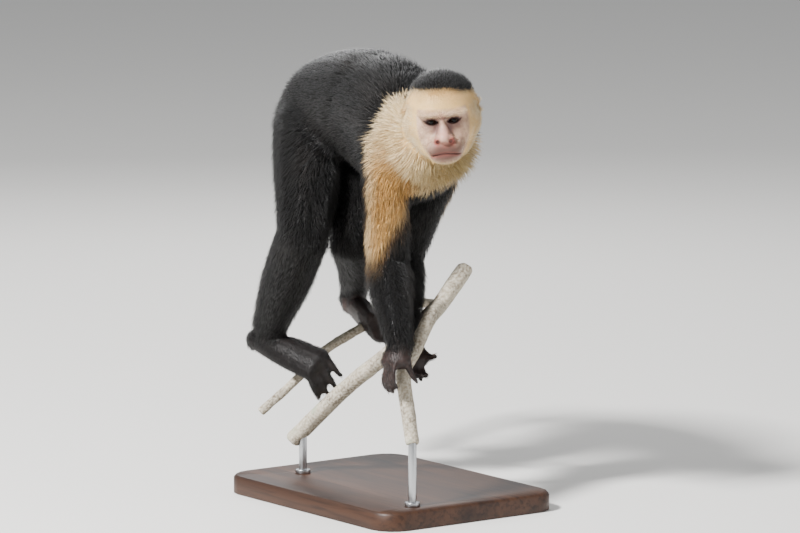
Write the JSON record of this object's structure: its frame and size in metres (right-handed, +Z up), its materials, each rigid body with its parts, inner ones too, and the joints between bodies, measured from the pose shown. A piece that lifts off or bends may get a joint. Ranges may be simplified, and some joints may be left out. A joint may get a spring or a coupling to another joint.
{
  "type": "capuchin monkey",
  "caption": "Life-size still model of a white-faced capuchin monkey standing on all fours across a forked branch, on a flat display base with two rods.",
  "frame": {"origin": "on the flat underside of the display base, under the monkey's trunk", "axes": "+Z up out of the base's underside, the monkey's body heads along -Y, +X is the monkey's left"},
  "size_m": [0.21, 0.4084, 0.4467],
  "materials": {
    "coat_pale": "cream to golden fur, real hair stood in for by fabric",
    "coat_black": "black fur with a faint grey sheen",
    "eye": "wet, very dark brown",
    "bark": "pale grey bark with lichen, sawn ends",
    "dark_wood": "dark stained, satin varnish",
    "steel": "brushed"
  },
  "bodies": {
    "root": {"head": "coat_pale", "ear_right": "coat_pale", "ear_left": "coat_pale", "eye_right": "eye", "eye_left": "eye", "chest": "coat_pale", "abdomen": "coat_black", "pelvis": "coat_black", "tail_1": "coat_black", "tail_2": "coat_black", "tail_3": "coat_black", "tail_4": "coat_black", "upper_arm_right": "coat_pale", "upper_arm_left": "coat_pale", "forearm_right": "coat_black", "forearm_left": "coat_black", "hand_right": "coat_black", "hand_left": "coat_black", "thigh_right": "coat_black", "thigh_left": "coat_black", "shank_right": "coat_black", "shank_left": "coat_black", "foot_right": "coat_black", "foot_left": "coat_black", "perch_branch": "bark", "stand_base": "dark_wood", "stand_rod_rear": "steel", "stand_rod_front": "steel"}
  },
  "joints": []
}
